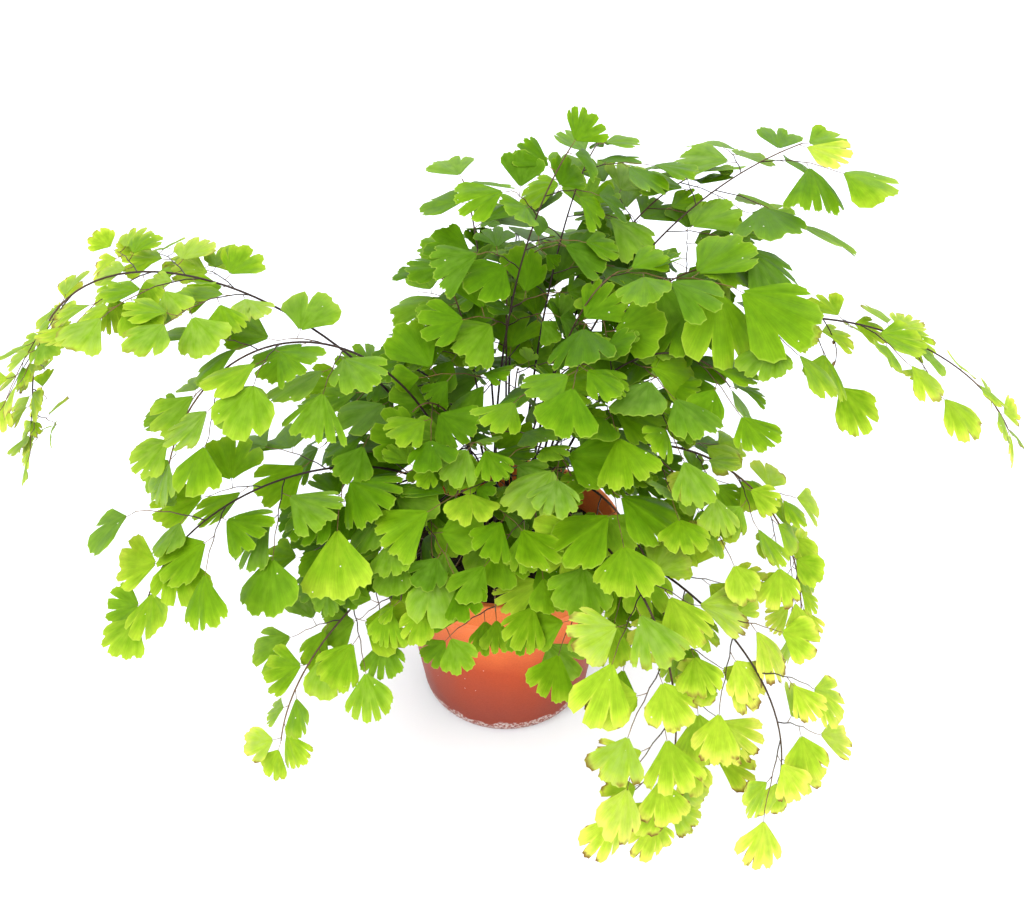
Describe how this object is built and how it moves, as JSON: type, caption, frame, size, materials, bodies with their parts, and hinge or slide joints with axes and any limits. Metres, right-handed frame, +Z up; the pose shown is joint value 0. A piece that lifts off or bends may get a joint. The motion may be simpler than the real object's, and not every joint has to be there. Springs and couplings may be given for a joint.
{
  "type": "potted fern",
  "caption": "Maidenhair fern with arching black wiry stalks and small fan-shaped leaflets, in a plain terracotta-coloured plastic nursery pot.",
  "frame": {"origin": "centre of the pot's flat underside, on the surface that it stands on", "axes": "+Z is up along the pot's axis, -Y is towards the plant's front, and the long frond leans out along -X"},
  "size_m": [0.4322, 0.2886, 0.2678],
  "materials": {
    "pot_shell": "satin terracotta-coloured plastic with a faint mineral crust at its foot",
    "peat": "damp dark brown peat with fine fibres",
    "rootstock": "dark scaly rootstock",
    "young_stalk": "pale green hairy young frond, rolled up",
    "leaflet": "thin soft green leaf that lets light through, on black wiry stalks"
  },
  "bodies": {
    "root": {"pot": "pot_shell", "potting_soil": "peat", "rhizome": "rootstock", "crozier_back": "young_stalk", "crozier_front": "young_stalk", "crozier_right": "young_stalk", "frond_long_left": "leaflet", "frond_second_left": "leaflet", "frond_low_left": "leaflet", "frond_hanging_left": "leaflet", "frond_top": "leaflet", "frond_top_left": "leaflet", "frond_top_right": "leaflet", "frond_upright_right": "leaflet", "frond_far_right": "leaflet", "frond_right": "leaflet", "frond_low_right": "leaflet", "frond_hanging_right": "leaflet", "frond_hanging_front": "leaflet", "frond_front_right": "leaflet", "frond_right_inner": "leaflet", "frond_low_right_inner": "leaflet", "frond_back": "leaflet", "frond_back_right": "leaflet", "frond_back_left": "leaflet", "frond_left_back": "leaflet", "frond_left_inner": "leaflet", "frond_left_front": "leaflet", "frond_front_left": "leaflet", "frond_front": "leaflet", "frond_front_inner": "leaflet", "frond_front_left_inner": "leaflet", "frond_crown_back": "leaflet", "frond_crown_left": "leaflet", "frond_crown_front": "leaflet", "frond_crown_right": "leaflet", "frond_centre": "leaflet", "frond_centre_right": "leaflet", "frond_top_right_inner": "leaflet", "frond_crown_front_left": "leaflet", "frond_crown_front_right": "leaflet", "frond_heart_left": "leaflet", "frond_heart_right": "leaflet", "frond_rim_left": "leaflet", "frond_heart_back": "leaflet", "frond_heart_front": "leaflet", "frond_rim_right": "leaflet"}
  },
  "joints": []
}
